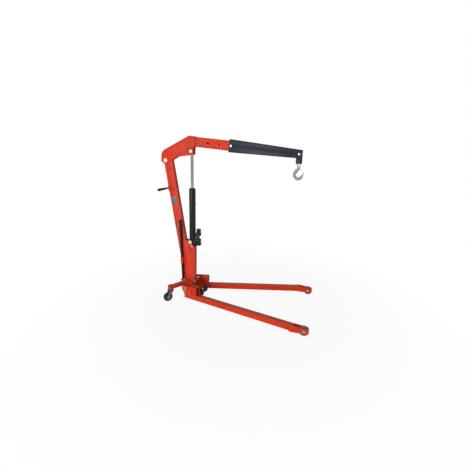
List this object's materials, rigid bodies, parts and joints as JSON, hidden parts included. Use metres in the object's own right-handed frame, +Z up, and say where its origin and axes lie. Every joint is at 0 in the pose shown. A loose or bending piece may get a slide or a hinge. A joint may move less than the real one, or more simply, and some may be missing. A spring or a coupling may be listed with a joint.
{
  "type": "folding workshop crane",
  "caption": "Wheeled workshop crane: leaning mast, gooseneck boom with sliding sleeve and hook, hand-pumped ram, and two splayed legs that fold up.",
  "frame": {"origin": "on the floor, midway between the rearmost and foremost points and on the middle plane", "axes": "+X the way the boom and legs reach, +Z up, -Y the side that carries the stored pump lever"},
  "size_m": [1.5848, 0.8562, 1.7223],
  "materials": {
    "red_paint": "gloss orange-red paint",
    "black_paint": "gloss black paint",
    "zinc": "zinc-plated steel",
    "chrome_rod": "hard-chromed, polished",
    "forged_hook": "forged, galvanised",
    "rubber_grip": "moulded rubber",
    "wheel_nylon": "black moulded wheel"
  },
  "bodies": {
    "base": {"base_frame": "red_paint", "mast": "red_paint", "push_bar": "black_paint", "push_grip_near": "rubber_grip", "push_grip_far": "rubber_grip", "lever_holder": "red_paint", "boom_pivot_bolt": "zinc", "ram_base_bolt": "zinc", "leg_pivot_bolt_near": "zinc", "leg_pivot_bolt_far": "zinc", "middle_axle_near": "zinc", "middle_axle_far": "zinc", "caster_kingpin_near": "zinc", "caster_kingpin_far": "zinc"},
    "boom": {"boom_beam": "red_paint", "ram_top_pin_near": "zinc", "ram_top_pin_far": "zinc"},
    "ram_cylinder": {"ram_cylinder": "black_paint", "pump_body": "black_paint", "socket_pin": "zinc"},
    "ram_rod": {"ram_rod": "chrome_rod"},
    "sleeve": {"boom_sleeve": "black_paint", "hook_tip_bolt": "zinc"},
    "sleeve_lock": {"sleeve_lock_pin": "zinc"},
    "yoke": {"yoke_plate_near": "black_paint", "yoke_plate_far": "black_paint", "yoke_pin": "zinc"},
    "hook": {"hook": "forged_hook"},
    "latch": {"hook_latch": "zinc", "latch_pin": "zinc"},
    "pump_socket": {"pump_socket": "black_paint"},
    "pump_plunger": {"pump_plunger": "chrome_rod", "plunger_pin": "zinc"},
    "release_valve": {"release_valve": "zinc"},
    "pump_lever": {"pump_lever": "black_paint", "lever_grip": "rubber_grip"},
    "leg_near": {"leg_near": "red_paint", "front_axle_near": "zinc"},
    "leg_lock_near": {"leg_lock_pin_near": "zinc"},
    "front_wheel_near": {"front_wheel_near": "wheel_nylon"},
    "middle_wheel_near": {"middle_wheel_near": "wheel_nylon"},
    "caster_near": {"caster_fork_near": "zinc", "rear_axle_near": "zinc"},
    "rear_wheel_near": {"rear_wheel_near": "wheel_nylon"},
    "leg_far": {"leg_far": "red_paint", "front_axle_far": "zinc"},
    "leg_lock_far": {"leg_lock_pin_far": "zinc"},
    "front_wheel_far": {"front_wheel_far": "wheel_nylon"},
    "middle_wheel_far": {"middle_wheel_far": "wheel_nylon"},
    "caster_far": {"caster_fork_far": "zinc", "rear_axle_far": "zinc"},
    "rear_wheel_far": {"rear_wheel_far": "wheel_nylon"}
  },
  "joints": [
    {"name": "boom_lift", "type": "hinge", "parent": "base", "child": "boom", "pos_m": [-0.74437, 0, 1.49], "axis": [0, -1, 0], "range_deg": [-50, 15]},
    {"name": "ram_swing", "type": "hinge", "parent": "base", "child": "ram_cylinder", "pos_m": [-0.51187, 0, 0.636], "axis": [0, -1, 0], "range_deg": [-0.6, 0.2]},
    {"name": "rod_slide", "type": "slide", "parent": "ram_cylinder", "child": "ram_rod", "axis": [0.0391, 0, 0.9992], "range_m": [-0.2556, 0.0768]},
    {"name": "sleeve_slide", "type": "slide", "parent": "boom", "child": "sleeve", "axis": [0.9934, 0, -0.1149], "range_m": [-0.24, 0]},
    {"name": "sleeve_lock", "type": "slide", "parent": "sleeve", "child": "sleeve_lock", "axis": [0, 1, 0], "range_m": [0, 0.013]},
    {"name": "yoke_swing", "type": "hinge", "parent": "sleeve", "child": "yoke", "pos_m": [0.585, 0, 1.54708], "axis": [0, -1, 0], "range_deg": [-15, 60]},
    {"name": "hook_swing", "type": "hinge", "parent": "yoke", "child": "hook", "pos_m": [0.585, 0, 1.48908], "axis": [0, -1, 0], "range_deg": [-50, 50]},
    {"name": "latch_swing", "type": "hinge", "parent": "hook", "child": "latch", "pos_m": [0.602, 0, 1.41608], "axis": [0, 1, 0], "range_deg": [0, 28], "stiffness_Nm_per_rad": 0.06, "springref_deg": -28.65},
    {"name": "pump_swing", "type": "hinge", "parent": "ram_cylinder", "child": "pump_socket", "pos_m": [-0.43824, 0, 0.72719], "axis": [0, -1, 0], "range_deg": [-40, 8]},
    {"name": "plunger_slide", "type": "slide", "parent": "ram_cylinder", "child": "pump_plunger", "axis": [0.0391, 0, 0.9992], "range_m": [-0.0202, 0.0041]},
    {"name": "valve_turn", "type": "hinge", "parent": "ram_cylinder", "child": "release_valve", "pos_m": [-0.49243, 0, 0.62123], "axis": [0.9992, 0, -0.0391], "range_deg": [0, 180]},
    {"name": "lever_lift", "type": "slide", "parent": "base", "child": "pump_lever", "axis": [0, 0, 1], "range_m": [0, 0.28]},
    {"name": "leg_fold_near", "type": "hinge", "parent": "base", "child": "leg_near", "pos_m": [-0.52937, -0.1242, 0.146], "axis": [-0.2236, -0.9747, 0], "range_deg": [0, 90]},
    {"name": "leg_lock_near", "type": "slide", "parent": "base", "child": "leg_lock_near", "axis": [0.2236, 0.9747, 0], "range_m": [0, 0.013]},
    {"name": "front_wheel_turn_near", "type": "hinge", "parent": "leg_near", "child": "front_wheel_near", "pos_m": [0.74677, -0.39676, 0.046], "axis": [0, 1, 0], "continuous": true},
    {"name": "middle_wheel_turn_near", "type": "hinge", "parent": "base", "child": "middle_wheel_near", "pos_m": [-0.40637, -0.054, 0.072], "axis": [0, 1, 0], "continuous": true},
    {"name": "caster_swivel_near", "type": "hinge", "parent": "base", "child": "caster_near", "pos_m": [-0.69437, -0.185, 0], "axis": [0, 0, 1], "continuous": true},
    {"name": "rear_wheel_turn_near", "type": "hinge", "parent": "caster_near", "child": "rear_wheel_near", "pos_m": [-0.7153, -0.21179, 0.05], "axis": [0.788, -0.6157, 0], "continuous": true},
    {"name": "leg_fold_far", "type": "hinge", "parent": "base", "child": "leg_far", "pos_m": [-0.52937, 0.1242, 0.146], "axis": [0.2236, -0.9747, 0], "range_deg": [0, 90]},
    {"name": "leg_lock_far", "type": "slide", "parent": "base", "child": "leg_lock_far", "axis": [0.2236, -0.9747, 0], "range_m": [0, 0.013]},
    {"name": "front_wheel_turn_far", "type": "hinge", "parent": "leg_far", "child": "front_wheel_far", "pos_m": [0.74677, 0.39676, 0.046], "axis": [0, 1, 0], "continuous": true},
    {"name": "middle_wheel_turn_far", "type": "hinge", "parent": "base", "child": "middle_wheel_far", "pos_m": [-0.40637, 0.054, 0.072], "axis": [0, 1, 0], "continuous": true},
    {"name": "caster_swivel_far", "type": "hinge", "parent": "base", "child": "caster_far", "pos_m": [-0.69437, 0.185, 0], "axis": [0, 0, 1], "continuous": true},
    {"name": "rear_wheel_turn_far", "type": "hinge", "parent": "caster_far", "child": "rear_wheel_far", "pos_m": [-0.7153, 0.21179, 0.05], "axis": [-0.788, -0.6157, 0], "continuous": true}
  ],
  "couplings": [
    {"joint": "ram_swing", "follows": "boom_lift", "ratio": 0.0111},
    {"joint": "rod_slide", "follows": "boom_lift", "m_per_rad": 0.2926},
    {"joint": "plunger_slide", "follows": "pump_swing", "m_per_rad": 0.0288}
  ]
}
